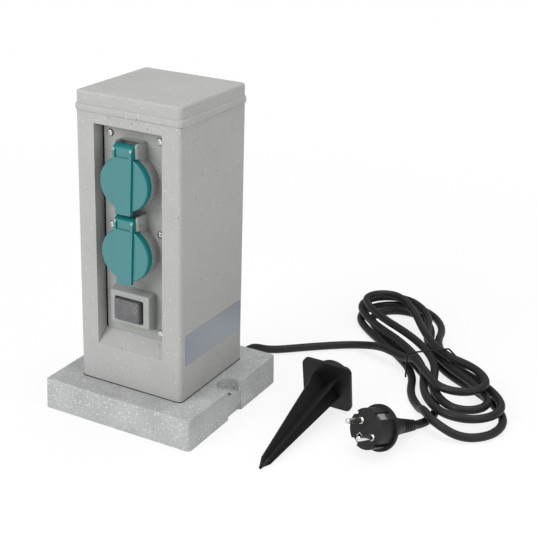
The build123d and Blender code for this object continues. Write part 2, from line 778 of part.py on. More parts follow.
with BuildPart() as switch_rocker:
    with BuildSketch(Plane.XY.offset(switch_level)):
        with BuildLine():
            Polyline(
                (switch_x - rocker_width / 2, pivot_y - rocker_reach),
                (switch_x, pivot_y - rocker_reach + rocker_dip),
                (switch_x + rocker_width / 2, pivot_y - rocker_reach),
                (switch_x + rocker_width / 2, pivot_y - rocker_reach + rocker_thickness),
                (switch_x - rocker_width / 2, pivot_y - rocker_reach + rocker_thickness),
                close=True,
            )
        make_face()
        with Locations((switch_x, pivot_y)):
            Circle(rocker_hub_r)
        with Locations((switch_x, pivot_y - rocker_reach / 4)):
            Rectangle(rocker_stem, rocker_reach / 2 + rocker_dip)
    extrude(amount=rocker_height / 2, both=True)
    with BuildSketch(Plane.XY.offset(switch_level)):
        with Locations((switch_x, pivot_y)):
            Circle(pivot_r)
    extrude(amount=pivot_length / 2, both=True)
save(switch_rocker.part, "switch_rocker")

with BuildPart() as switch_blades:
    with BuildSketch(front_plane(switch_back_y, switch_level, switch_x)):
        with Locations((-blade_place, 0), (blade_place, 0)):
            Rectangle(blade_thickness, blade_height)
    extrude(amount=-blade_length)
save(switch_blades.part, "switch_blades")

# Front panel: sits on the ledge of the recess and carries the outlets and the switch
with BuildPart() as front_panel:
    panel_height = window_top - sill_top - 2 * fit_gap
    with BuildSketch(front_plane(panel_back_y, sill_top + fit_gap + panel_height / 2)):
        RectangleRounded(window_width - 2 * panel_side_gap, panel_height, panel_corner)
    extrude(amount=panel_thickness)
    with BuildSketch(front_plane(panel_back_y + overrun)):
        with Locations(*[(0, level) for level in socket_levels]):
            Circle(tube_r + tube_gap)
        with Locations((switch_x, switch_level)):
            Rectangle(*switch_hole)
        with Locations(*panel_screw_points):
            Circle(panel_screw_r + fit_gap)
    extrude(amount=panel_thickness + 2 * overrun, mode=Mode.SUBTRACT)
save(front_panel.part, "front_panel")

with BuildPart() as panel_screws:
    with BuildSketch(front_plane(panel_y)):
        with Locations(*panel_screw_points):
            Circle(panel_screw_head_r)
    extrude(amount=panel_screw_head)
    fillet(panel_screws.edges().group_by(Axis.Y)[0], radius=panel_screw_head / 2)
    with BuildSketch(front_plane(panel_y)):
        with Locations(*panel_screw_points):
            Circle(panel_screw_r)
    extrude(amount=-panel_screw_length)
    with BuildSketch(front_plane(panel_y - panel_screw_head)):
        with Locations(*panel_screw_points):
            Rectangle(cross_slot_length, cross_slot_width)
            Rectangle(cross_slot_width, cross_slot_length)
    extrude(amount=-cross_slot_depth, mode=Mode.SUBTRACT)
save(panel_screws.part, "panel_screws")

# Blank plate on the right side of the post
label_length = 97.0
label_height = 30.0
label_middle_y = 1.5
label_level = 79.0
label_thickness = 0.3
label_corner = 2.0
label_x = post_side / 2 - (label_level - plinth_height) * tan(radians(post_draft))
label_plane = Plane(origin=(label_x, label_middle_y, label_level), x_dir=(0, 1, 0),
                    z_dir=(cos(radians(post_draft)), 0, sin(radians(post_draft))))

with BuildPart() as side_label:
    with BuildSketch(label_plane):
        RectangleRounded(label_length, label_height, label_corner)
    extrude(amount=label_thickness)
save(side_label.part, "side_label")

# Terminal block on the post's floor
block_x = -4.0
block_y = 14.0
block_length = 36.0
block_depth = 16.0
block_height = 16.0
terminal_pitch = 12.0
terminal_row_pitch = 8.0
terminal_bore_r = 1.6
terminal_bore_depth = 5.0
terminal_screw_r = 1.8
terminal_screw_length = 1.8
terminal_screw_drop = 5.0

block_floor = plinth_height + post_floor
block_top = block_floor + block_height
terminal_columns = [block_x + k * terminal_pitch for k in (-1, 0, 1)]
front_row_y = block_y - terminal_row_pitch / 2
back_row_y = block_y + terminal_row_pitch / 2
terminal_screw_points = [(x, block_top - terminal_screw_drop) for x in terminal_columns]

with BuildPart() as terminal_block:
    with BuildSketch(Plane.XY.offset(block_floor)):
        with Locations((block_x, block_y)):
            Rectangle(block_length, block_depth)
    extrude(amount=block_height)
    with BuildSketch(Plane.XY.offset(block_top)):
        with Locations((block_x, block_y)):
            with GridLocations(terminal_pitch, terminal_row_pitch, 3, 2):
                Circle(terminal_bore_r)
    extrude(amount=-terminal_bore_depth, mode=Mode.SUBTRACT)
    for face_y, depth in ((block_y - block_depth / 2, -terminal_screw_length),
                          (block_y + block_depth / 2, terminal_screw_length)):
        with BuildSketch(front_plane(face_y)):
            with Locations(*terminal_screw_points):
                Circle(terminal_screw_r + fit_gap)
        extrude(amount=depth, mode=Mode.SUBTRACT)
save(terminal_block.part, "terminal_block")

with BuildPart() as terminal_screws:
    for face_y, depth in ((block_y - block_depth / 2, -terminal_screw_length),
                          (block_y + block_depth / 2, terminal_screw_length)):
        with BuildSketch(front_plane(face_y)):
            with Locations(*terminal_screw_points):
                Circle(terminal_screw_r)
        extrude(amount=depth)
save(terminal_screws.part, "terminal_screws")

# Cord inside the housing: through the gland, past the clamp, then up into the post
gland_bore_gap = 0.05
relief_root_r = 7.2
relief_tip_r = 5.3
relief_length = 17.0
gland_nut_width = 16.4
cord_bend_r = 20.0
sheath_end = 44.0

relief_end_y = gland_y + gland_flange + relief_length
bend_start_y = cable_hole_y + cord_bend_r

with BuildPart() as cable_gland:
    with BuildSketch(Plane.XY.offset(exit_level)):
        with BuildLine():
            Polyline(
                (exit_x + cord_r + gland_bore_gap, gland_y - gland_thread_length),
                (exit_x + gland_thread_r, gland_y - gland_thread_length),
                (exit_x + gland_thread_r, gland_y),
                (exit_x + gland_flange_r, gland_y),
                (exit_x + gland_flange_r, gland_y + gland_flange),
                (exit_x + relief_root_r, gland_y + gland_flange),
                (exit_x + relief_tip_r, relief_end_y),
                (exit_x + cord_r + gland_bore_gap, relief_end_y),
                close=True,
            )
        make_face()
    revolve(axis=Axis((exit_x, gland_y, exit_level), (0, 1, 0)))
save(cable_gland.part, "cable_gland")

with BuildPart() as gland_nut:
    with BuildSketch(front_plane(plinth_inside_y - fit_gap)):
        with Locations((exit_x, exit_level)):
            RegularPolygon(gland_nut_width / 2, 6, major_radius=False)
            Circle(gland_thread_r + pin_gap, mode=Mode.SUBTRACT)
    extrude(amount=gland_nut_height)
save(gland_nut.part, "gland_nut")

with BuildLine() as cord_way:
    Line((exit_x, relief_end_y, exit_level), (exit_x, bend_start_y, exit_level))
    TangentArc((exit_x, bend_start_y, exit_level), (exit_x, cable_hole_y, exit_level + cord_bend_r),
               tangent=(0, -1, 0))
    Line((exit_x, cable_hole_y, exit_level + cord_bend_r), (exit_x, cable_hole_y, sheath_end))
save(tube_along(cord_way.wires()[0], cord_r), "cord_inside")

# Wires: one node for each conductor, its stretches as separate runs with rounded corners
wire_r = 1.1
wire_bend_r = 3.0
wire_dip = 3.0
core_spread = 1.7
core_lift = 10.0
core_step = 4.0

bus_y = tail_end_y + wire_r + pin_gap
bus_top = socket_levels[-1] + tail_r
wire_foot = block_top - wire_dip
left_x, middle_x, right_x = terminal_columns
core_x = exit_x + core_spread / 2
blade_end_y = switch_back_y + blade_length
blade_in_x = switch_x - blade_place
blade_out_x = switch_x + blade_place
switch_bus_y = blade_end_y + blade_length
low_turn = sheath_end + core_lift

live_way = [
    [(exit_x - core_spread, cable_hole_y, sheath_end), (exit_x - core_spread, cable_hole_y,
     low_turn + core_step), (left_x, back_row_y, low_turn + core_step), (left_x, back_row_y, wire_foot)],
    [(left_x, front_row_y, wire_foot), (left_x, front_row_y, block_top + block_height),
     (blade_in_x, switch_bus_y, switch_level - block_height), (blade_in_x, switch_bus_y, switch_level),
     (blade_in_x, blade_end_y + fit_gap, switch_level)],
    [(blade_out_x, blade_end_y + fit_gap, switch_level), (blade_out_x, bus_y, switch_level),
     (contact_place, bus_y, switch_level + block_height), (contact_place, bus_y, bus_top)],
]
neutral_way = [
    [(core_x, cable_hole_y + core_spread, sheath_end), (core_x, cable_hole_y + core_spread,
     low_turn + 2 * core_step), (middle_x, back_row_y, low_turn + 2 * core_step),
     (middle_x, back_row_y, wire_foot)],
    [(middle_x, front_row_y, wire_foot), (middle_x, front_row_y, switch_level + block_height),
     (-contact_place, bus_y, socket_levels[0] - block_height), (-contact_place, bus_y, bus_top)],
]
earth_way = [
    [(core_x, cable_hole_y - core_spread, sheath_end), (core_x, cable_hole_y - core_spread, low_turn),
     (right_x, back_row_y, low_turn), (right_x, back_row_y, wire_foot)],
    [(right_x, front_row_y, wire_foot), (right_x, front_row_y, switch_level - block_height / 2),
     (0, bus_y, socket_levels[0] - block_height * 3 / 2), (0, bus_y, bus_top)],
]

for name, ways in (("wire_live", live_way), ("wire_neutral", neutral_way), ("wire_earth", earth_way)):
    with BuildPart() as wire:
        for way in ways:
            with BuildLine() as run:
                FilletPolyline(*way, radius=wire_bend_r)
            with BuildSketch(Plane(origin=run.line @ 0, z_dir=run.line % 0)):
                Circle(wire_r)
            sweep(path=run.line)
    save(wire.part, name)

# Ground spike, lying beside the post: a square plate with four diagonal fins and a round boss
spike_plate = 50.0
spike_plate_thickness = 3.5
spike_plate_corner = 6.5
spike_fin_root = 17.0
spike_fin_toe = 5.0
spike_fin_length = 120.0
spike_length = 131.5
spike_fin_thickness = 2.8
spike_boss_length = 13.0
spike_boss_wall = 3.0
spike_x = 147.2
spike_face_y = 57.1
spike_rest = 0.1
spike_tilt = degrees(atan((spike_plate / 2 - spike_fin_toe * sin(radians(45))) / spike_fin_length))
spike_face_z = spike_plate / 2 * cos(radians(spike_tilt)) + spike_rest
spike_axis = Vector(0, -cos(radians(spike_tilt)), -sin(radians(spike_tilt)))
spike_face = Plane(origin=(spike_x, spike_face_y, spike_face_z), x_dir=(1, 0, 0), z_dir=spike_axis)

with BuildPart() as ground_spike:
    with BuildSketch(spike_face):
        RectangleRounded(spike_plate, spike_plate, spike_plate_corner)
    extrude(amount=-spike_plate_thickness)
    for turn in (45, 135):
        fin_across = spike_face.x_dir * cos(radians(turn)) + spike_face.y_dir * sin(radians(turn))
        fin_plane = Plane(origin=spike_face.origin, x_dir=spike_axis, z_dir=spike_axis.cross(fin_across))
        with BuildSketch(fin_plane):
            with BuildLine():
                Polyline(
                    (0, -spike_fin_root),
                    (spike_fin_length, -spike_fin_toe),
                    (spike_length, 0),
                    (spike_fin_length, spike_fin_toe),
                    (0, spike_fin_root),
                    close=True,
                )
            make_face()
        extrude(amount=spike_fin_thickness / 2, both=True)
    with BuildSketch(spike_face.offset(-spike_plate_thickness)):
        Circle(spike_boss_r)
        Circle(spike_boss_r - spike_boss_wall, mode=Mode.SUBTRACT)
    extrude(amount=-spike_boss_length)
save(ground_spike.part, "ground_spike")

# Plug: its frame has z along the pins, x across them, and the earth strips on y
plug_face = (214.6, -1.3, 26.3)
plug_heading = -108.7
plug_lift = 17.1
plug_roll = 149.6
plug_face_r = 18.7
plug_flange_r = 21.4
plug_flange_place = 19.6
plug_flange_height = 2.7
plug_edge = 0.8
plug_back_r = 12.3
plug_neck_r = 7.4
plug_cone_length = 28.0
plug_length = 68.0
plug_tip_r = 5.2
plug_groove_r = 6.0
plug_ribs = 6
plug_pin_r = 2.4
plug_pin_length = 19.0
plug_pin_place = 9.5
plug_strip_place = 16.6
plug_strip_thickness = 1.0
plug_strip_width = 6.4
plug_strip_start = 2.0
plug_channel_width = 8.0
plug_guide_width = 5.0
plug_guide_depth = 2.4
plug_earth_place = 10.0
plug_earth_width = 5.0
plug_earth_depth = 16.0
plug_earth_wall = 0.7

pins_way = Vector(cos(radians(plug_heading)) * cos(radians(plug_lift)),
                  sin(radians(plug_heading)) * cos(radians(plug_lift)), sin(radians(plug_lift)))
plug_level_way = Vector(-sin(radians(plug_heading)), cos(radians(plug_heading)), 0)
plug_row = (plug_level_way * cos(radians(plug_roll))
            + pins_way.cross(plug_level_way) * sin(radians(plug_roll)))
plug_frame = Plane(origin=plug_face, x_dir=plug_row, z_dir=pins_way)
plug_turn_plane = Plane(origin=plug_face, x_dir=plug_row, z_dir=plug_row.cross(pins_way))
plug_tail = Vector(*plug_face) - pins_way * plug_length
rib_run = plug_length - plug_flange_place - plug_cone_length
rib_pitch = rib_run / plug_ribs
plug_pin_points = [(-plug_pin_place, 0), (plug_pin_place, 0)]

with BuildPart() as plug_body:
    with BuildSketch(plug_turn_plane):
        with BuildLine():
            Polyline(
                (0, 0),
                (plug_face_r, 0),
                (plug_face_r, plug_flange_height - plug_flange_place),
                (plug_flange_r, plug_flange_height - plug_flange_place),
                (plug_flange_r, -plug_flange_place),
                (plug_back_r, -plug_flange_place),
                (plug_neck_r, -plug_flange_place - plug_cone_length),
                (plug_tip_r, -plug_length),
                (0, -plug_length),
                close=True,
            )
        make_face()
    revolve(axis=Axis(plug_face, pins_way))
    for k in range(plug_ribs):
        rib_place = plug_flange_place + plug_cone_length + (k + 1 / 2) * rib_pitch
        with BuildSketch(plug_frame.offset(-rib_place)):
            Circle(plug_neck_r + plug_edge)
            Circle(plug_groove_r - k * (plug_groove_r - plug_tip_r) / plug_ribs, mode=Mode.SUBTRACT)
        extrude(amount=rib_pitch / 4, both=True, mode=Mode.SUBTRACT)
    with BuildSketch(plug_frame):
        for side in (-1, 1):
            with Locations((0, side * (plug_strip_place + plug_face_r) / 2)):
                Rectangle(plug_channel_width, plug_face_r - plug_strip_place + plug_strip_thickness)
            with Locations((side * plug_face_r, 0)):
                Rectangle(2 * plug_guide_depth, plug_guide_width)
    extrude(amount=plug_flange_height - plug_flange_place, mode=Mode.SUBTRACT)
    with BuildSketch(plug_frame):
        with Locations((0, plug_earth_place)):
            Rectangle(plug_earth_width, plug_earth_width)
    extrude(amount=-plug_earth_depth, mode=Mode.SUBTRACT)
save(plug_body.part, "plug_body")

with BuildPart() as plug_pins:
    with BuildSketch(plug_frame):
        with Locations(*plug_pin_points):
            Circle(plug_pin_r)
    extrude(amount=plug_pin_length)
    fillet(plug_pins.faces().sort_by(Axis(plug_face, pins_way))[-2:].edges(), radius=plug_edge)
save(plug_pins.part, "plug_pins")

with BuildPart() as plug_earth_strips:
    with BuildSketch(plug_frame.offset(-plug_strip_start)):
        for side in (-1, 1):
            with Locations((0, side * plug_strip_place)):
                Rectangle(plug_strip_width, plug_strip_thickness)
    extrude(amount=plug_strip_start + plug_flange_height - plug_flange_place)
save(plug_earth_strips.part, "plug_earth_strips")

with BuildPart() as plug_earth_sleeve:
    with BuildSketch(plug_frame):
        with Locations((0, plug_earth_place)):
            Rectangle(*2 * [plug_earth_width - 2 * pin_gap])
            Rectangle(*2 * [plug_earth_width - 2 * plug_earth_wall], mode=Mode.SUBTRACT)
    extrude(amount=-plug_earth_depth + fit_gap)
save(plug_earth_sleeve.part, "plug_earth_sleeve")

# Cord hank: four loops either side of a waist, each a key point's line of travel, in the hank's
# own frame: u along the hank, v across it, levels in steps of one cord's pitch
hank_x = 196.0
hank_y = 190.0
hank_heading = -46.0
strand_gap = 0.8
hank_start_turn = 165.0
hank_end_turn = 205.0

strand_pitch = 2 * cord_r + strand_gap
hank_frame = Plane(origin=(hank_x, hank_y, cord_r),
                   x_dir=(cos(radians(hank_heading)), sin(radians(hank_heading)), 0))

# Far lobes: reach, left and right edge, level. Near lobes: left place and its level, reach and
# middle, right place, level. The waist's strands on the way out and back, and the steps between
far_lobes = [(130, -20, 40, 0), (147, -31, 54, 0), (150, -27, 41, 1), (140, -22, 22, 2)]
near_lobes = [
    ((115, -46, 1), (151, -11, 0), (108, 31, 0)),
    ((100.5, -34, 1), (134, -0.5, 1), (100.5, 33, 1)),
    ((94.5, -22, 1), (117, 0.5, 1), (94.5, 23, 1)),
    ((72, -22, 2), (98, 4, 2), (72, 30, 2)),
]
waist_to_far = [(0, -11.5, 0), (0, -21, 0), (0, -11.5, 1), (0, 1, 1.5)]
waist_to_near = [(0, 12, 0), (0, 23, 0.5), (0, 11.5, 1), (0, 10.5, 2)]
hank_start = (60, -15, 0)
first_return = (80, -42, 0, 176)
last_return = (30, -21.5, 2, 180)
hank_end_step = 1.044
hank_end = (-4, -26.5, hank_end_step, hank_end_turn)
least_closing = 1e-9
least_angle = 1e-4


def hank_point(u, v, level):
    return Vector(u, v, level * strand_pitch)


def hank_way(heading):
    return Vector(cos(radians(heading)), sin(radians(heading)), 0)


def hank_keys():
    """Key points and headings of the whole hank, from the plug's side to the lead's."""
    root = hank_point(*hank_start) - hank_way(hank_start_turn) * 2 * cord_r
    keys = [((root.X, root.Y, hank_start[2]), hank_start_turn), (hank_start, hank_start_turn)]
    for out, far, back, near in zip(waist_to_far, far_lobes, waist_to_near, near_lobes):
        reach, left, right, level = far
        radius = (right - left) / 2
        keys.append((out, 180))
        keys.append(((radius - reach, left, level), 180))
        keys.append(((-reach, (left + right) / 2, level), 90))
        keys.append(((radius - reach, right, level), 0))
        keys.append((back, 0))
        left_place, end_place, right_place = near
        keys.append((right_place, 0))
        keys.append((end_place, -90))
        keys.append((left_place, 180))
        if near is near_lobes[0]:
            keys.append((first_return[:3], first_return[3]))
    keys.append((last_return[:3], last_return[3]))
    keys.append((hank_end[:3], hank_end[3]))
    tail = hank_point(*hank_end[:3]) + hank_way(hank_end[3]) * 2 * cord_r
    keys.append(((tail.X, tail.Y, hank_end[2]), hank_end[3]))
    return [(hank_point(*place), hank_way(heading)) for place, heading in keys]


def biarc_middle(start, start_way, end, end_way):
    """The point where two equal-reach tangent arcs from start to end meet, and the way there."""
    chord = end - start
    both = start_way + end_way
    closing = 1 - start_way.dot(end_way)
    if closing < least_closing:
        reach = chord.dot(chord) / (4 * chord.dot(end_way))
    else:
        slope = chord.dot(both)
        reach = (sqrt(slope ** 2 + 2 * closing * chord.dot(chord)) - slope) / (2 * closing)
    middle = (start + end + (start_way - end_way) * reach) * 0.5
    return middle, ((end - end_way * reach) - (start + start_way * reach)).normalized()


def tangent_step(start, way, end):
    """One arc that leaves start along the way, or a line where end lies straight ahead."""
    if way.get_angle(end - start) < least_angle:
        return Edge.make_line(start, end)
    return Edge.make_tangent_arc(start, way, end)


def winding(keys):
    steps = []
    for (start, start_way), (end, end_way) in zip(keys[:-1], keys[1:]):
        middle, middle_way = biarc_middle(start, start_way, end, end_way)
        chord = end - start
        if max(start_way.get_angle(chord), end_way.get_angle(chord)) < least_angle:
            steps.append(Edge.make_line(start, end))
        else:
            steps.append(tangent_step(start, start_way, middle))
            steps.append(tangent_step(middle, middle_way, end))
    return steps


def least_gap(points, along, reach):
    """Least distance between stretches of a path that lie further apart along it than reach."""
    return min(
        hypot(p.X - q.X, p.Y - q.Y, p.Z - q.Z)
        for k, (p, s) in enumerate(zip(points, along))
        for q, t in zip(points[k + 1:], along[k + 1:])
        if t - s > reach
    )


def volume_share(part, wire):
    return round(part.volume / (wire.length * pi * cord_r ** 2), 4)


gap_samples = 1200

hank_wire = Wire([step.moved(hank_frame.location) for step in winding(hank_keys())])
cord_hank = tube_along(hank_wire, cord_r)
save(cord_hank, "cord_hank")

hank_points = [hank_wire @ (k / gap_samples) for k in range(gap_samples + 1)]
hank_along = [hank_wire.length * k / gap_samples for k in range(gap_samples + 1)]
print("hank length", round(hank_wire.length, 1), "least gap to itself",
      round(least_gap(hank_points, hank_along, 8 * cord_r) - 2 * cord_r, 2),
      "volume share", volume_share(cord_hank, hank_wire))


corner_share = 0.45


def bend_radii(points):
    """A radius for each corner: a share of its shorter run over the tangent of half the turn."""
    radii = []
    for a, b, c in zip(points[:-2], points[1:-1], points[2:]):
        before = Vector(*b) - Vector(*a)
        after = Vector(*c) - Vector(*b)
        half_turn = radians(before.get_angle(after)) / 2
        radii.append(corner_share * min(before.length, after.length) / tan(half_turn))
    return radii


def cord_tube(name, start, start_way, route, end, end_way):
    """A free stretch: straight out of its start, by the route's points, and straight into its end."""
    points = [start, start + start_way, *[Vector(*point) for point in route], end - end_way, end]
    radii = bend_radii(points)
    wire = FilletPolyline(*points, radius=radii)
    tube = tube_along(wire, cord_r)
    print(name, "length", round(wire.length, 1), "radii", [round(r) for r in radii],
          "volume share", volume_share(tube, wire))
    save(tube, name)


# Free stretches of the cord, laid on the floor: gland to hank, and plug to hank
lead_route = [
    (36.9, 120.4, 9.4),
    (43.7, 128.4, 5.6),
    (53, 137.3, 4.2),
    (66, 149.5, 4.1),
    (83, 165, 4.1),
    (102, 181, 4.1),
    (116, 188.5, 5),
    (129.5, 189.6, 7.6),
    (142, 186.9, 11),
]
plug_lead_route = [
    (242.5, 78, 4.1),
    (243.8, 91, 4.1),
    (241.6, 104.7, 4.1),
]
lead_out = 11.0
lead_in = 13.0
plug_lead_out = 7.5
plug_lead_in = 12.5
hank_start_way = hank_wire % 0
hank_end_way = hank_wire % 1
cord_tube("cord_lead", Vector(exit_x, relief_end_y, exit_level), Vector(0, lead_out, 0), lead_route,
          hank_wire @ 1, hank_end_way * -lead_in)
cord_tube("cord_plug_lead", plug_tail, pins_way * -plug_lead_out, plug_lead_route,
          hank_wire @ 0, hank_start_way * plug_lead_in)

# Wire tie over the hank's waist, its two legs down to the floor
tie_r = 0.9
tie_place = 18.0
tie_bend_r = 3.0
tie_left = -28.4
tie_right = 29.1
tie_top = 27.5
tie_shoulder = 16.5
tie_side = 14.0
tie_foot = 0.5

tie_frame = Plane(origin=hank_frame.from_local_coords(Vector(tie_place, 0, -cord_r)),
                  x_dir=hank_frame.y_dir, z_dir=hank_frame.x_dir)
with BuildLine(tie_frame) as tie_path:
    FilletPolyline(
        (tie_left, tie_foot),
        (tie_left, tie_top),
        (tie_shoulder, tie_top),
        (tie_right, tie_side),
        (tie_right, tie_foot),
        radius=tie_bend_r,
    )
save(tube_along(tie_path.wires()[0], tie_r), "cord_tie")
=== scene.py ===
"""A garden socket post: stone-look pillar with two covered outlets, a switch, a cord and a spike."""
from math import cos, pi, radians, sin

import bpy
import numpy as np
from mathutils import Matrix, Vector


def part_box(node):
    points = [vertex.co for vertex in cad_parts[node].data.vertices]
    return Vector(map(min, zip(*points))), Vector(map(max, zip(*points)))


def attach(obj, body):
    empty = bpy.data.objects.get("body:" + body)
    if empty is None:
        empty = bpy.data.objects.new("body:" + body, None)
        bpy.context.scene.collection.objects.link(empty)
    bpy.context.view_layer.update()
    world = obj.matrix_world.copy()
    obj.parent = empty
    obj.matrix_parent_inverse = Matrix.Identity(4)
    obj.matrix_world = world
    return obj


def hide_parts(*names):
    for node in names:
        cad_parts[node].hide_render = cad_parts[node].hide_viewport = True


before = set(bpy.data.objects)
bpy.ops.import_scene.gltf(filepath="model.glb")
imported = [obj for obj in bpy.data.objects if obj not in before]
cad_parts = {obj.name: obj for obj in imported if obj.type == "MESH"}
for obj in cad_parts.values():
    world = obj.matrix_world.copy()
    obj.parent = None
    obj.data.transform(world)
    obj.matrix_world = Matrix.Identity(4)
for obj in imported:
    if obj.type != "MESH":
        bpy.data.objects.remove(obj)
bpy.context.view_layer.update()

# The view: a long lens in front of the post and to its right, a little above the cap. The place
# was worked out from the post's upright edges and the plinth's corners in the photograph.
mm = 0.001
view_place = np.array((565.65, -855.508, 552.11)) * mm
view_turn = radians(27.98894)
view_drop = radians(22.24308)
view_roll = radians(1.88518)
view_lens = 79.6425
view_sensor = 36.0

back_way = np.array((sin(view_turn) * cos(view_drop), -cos(view_turn) * cos(view_drop), sin(view_drop)))
level_way = np.cross(-back_way, (0, 0, 1))
level_way /= np.linalg.norm(level_way)
upright_way = np.cross(level_way, -back_way)
right_way = cos(view_roll) * level_way + sin(view_roll) * upright_way
top_way = cos(view_roll) * upright_way - sin(view_roll) * level_way

view_data = bpy.data.cameras.new("view")
view_data.lens = view_lens
view_data.sensor_width = view_sensor
view_camera = bpy.data.objects.new("view", view_data)
placing = np.eye(4)
placing[:3] = np.column_stack((right_way, top_way, back_way, view_place))
view_camera.matrix_world = Matrix(placing)
bpy.context.scene.collection.objects.link(view_camera)
bpy.context.scene.camera = view_camera

# Plinth, post and cap: injection moulded in a warm grey plastic made to look like granite, with
# white and dark flecks all through it. The plinth holds many more flecks than the post above it.
def new_group(name, inputs, outputs):
    """A shader node group with its named inputs and outputs: the group, its input node, its output node."""
    group = bpy.data.node_groups.new(name, "ShaderNodeTree")
    for label, kind in inputs:
        group.interface.new_socket(label, in_out="INPUT", socket_type="NodeSocket" + kind)
    for label, kind in outputs:
        group.interface.new_socket(label, in_out="OUTPUT", socket_type="NodeSocket" + kind)
    return group, group.nodes.new("NodeGroupInput"), group.nodes.new("NodeGroupOutput")


def feed(tree, socket, value):
    """Links a socket to another one, or sets it to a plain value."""
    if isinstance(value, bpy.types.NodeSocket):
        tree.links.new(value, socket)
    else:
        socket.default_value = value


def maths(tree, operation, first, second=0.0):
    """One sum of two values, each a plain value or a socket."""
    node = tree.nodes.new("ShaderNodeMath")
    node.operation = operation
    feed(tree, node.inputs[0], first)
    feed(tree, node.inputs[1], second)
    return node.outputs["Value"]


def blend(tree, value, from_low, from_high, to_low, to_high):
    """A value carried from one range to another, and held at its ends."""
    node = tree.nodes.new("ShaderNodeMapRange")
    feed(tree, node.inputs["Value"], value)
    feed(tree, node.inputs["From Min"], from_low)
    feed(tree, node.inputs["From Max"], from_high)
    feed(tree, node.inputs["To Min"], to_low)
    feed(tree, node.inputs["To Max"], to_high)
    return node.outputs["Result"]


def object_noise(tree, scale, detail):
    """Noise in object coordinates, so it stays on a piece that moves."""
    place = tree.nodes.new("ShaderNodeTexCoord")
    noise = tree.nodes.new("ShaderNodeTexNoise")
    tree.links.new(place.outputs["Object"], noise.inputs["Vector"])
    feed(tree, noise.inputs["Scale"], scale)
    noise.inputs["Detail"].default_value = detail
    return noise.outputs["Fac"]


# One surface for every moulding: a fine and a broad noise added make the colour lighter and darker
# by a share of itself, the roughness higher and lower, and the surface a little uneven
per_metre = 1000.0
broad_times = 14.0
fine_detail = 4
broad_detail = 3
grain, grain_in, grain_out = new_group(
    "surface grain",
    [("Colour", "Color"), ("Grain Size", "Float"), ("Colour Spread", "Float"), ("Roughness", "Float"),
     ("Roughness Spread", "Float"), ("Height", "Float")],
    [("Colour", "Color"), ("Roughness", "Float"), ("Normal", "Vector")])
fine_scale = maths(grain, "DIVIDE", per_metre, grain_in.outputs["Grain Size"])
fine_noise = object_noise(grain, fine_scale, fine_detail)
broad_noise = object_noise(grain, maths(grain, "DIVIDE", fine_scale, broad_times), broad_detail)
swing = maths(grain, "SUBTRACT", maths(grain, "ADD", fine_noise, broad_noise), 1.0)
lighter = maths(grain, "ADD", maths(grain, "MULTIPLY", swing, grain_in.outputs["Colour Spread"]), 1.0)
tinted = grain.nodes.new("ShaderNodeVectorMath")
tinted.operation = "SCALE"
grain.links.new(grain_in.outputs["Colour"], tinted.inputs[0])
grain.links.new(lighter, tinted.inputs["Scale"])
grain.links.new(tinted.outputs["Vector"], grain_out.inputs["Colour"])
rougher = maths(grain, "MULTIPLY", swing, grain_in.outputs["Roughness Spread"])
grain.links.new(maths(grain, "ADD", grain_in.outputs["Roughness"], rougher), grain_out.inputs["Roughness"])
uneven = grain.nodes.new("ShaderNodeBump")
grain.links.new(maths(grain, "DIVIDE", grain_in.outputs["Height"], per_metre), uneven.inputs["Distance"])
grain.links.new(fine_noise, uneven.inputs["Height"])
grain.links.new(uneven.outputs["Normal"], grain_out.inputs["Normal"])

# Flecks: round spots about the points of a scattering, in a share of its cells, each full in its
# core and fading out to its edge
fleck_core = 0.7
flecks, flecks_in, flecks_out = new_group(
    "flecks", [("Spacing", "Float"), ("Radius", "Float"), ("Share", "Float")], [("Mask", "Float")])
flecks_place = flecks.nodes.new("ShaderNodeTexCoord")
cells = flecks.nodes.new("ShaderNodeTexVoronoi")
flecks.links.new(flecks_place.outputs["Object"], cells.inputs["Vector"])
flecks.links.new(maths(flecks, "DIVIDE", per_metre, flecks_in.outputs["Spacing"]), cells.inputs["Scale"])
chance = flecks.nodes.new("ShaderNodeSeparateColor")
flecks.links.new(cells.outputs["Color"], chance.inputs["Color"])
chosen = maths(flecks, "LESS_THAN", chance.outputs["Red"], flecks_in.outputs["Share"])
reach = maths(flecks, "DIVIDE", flecks_in.outputs["Radius"], flecks_in.outputs["Spacing"])
core = maths(flecks, "MULTIPLY", reach, fleck_core)
round_spot = blend(flecks, cells.outputs["Distance"], core, reach, 1.0, 0.0)
flecks.links.new(maths(flecks, "MULTIPLY", chosen, round_spot), flecks_out.inputs["Mask"])


def use_group(tree, group, **values):
    """A group's node in a material, with its inputs set or linked by name."""
    node = tree.nodes.new("ShaderNodeGroup")
    node.node_tree = group
    for label, value in values.items():
        feed(tree, node.inputs[label.replace("_", " ")], value)
    return node


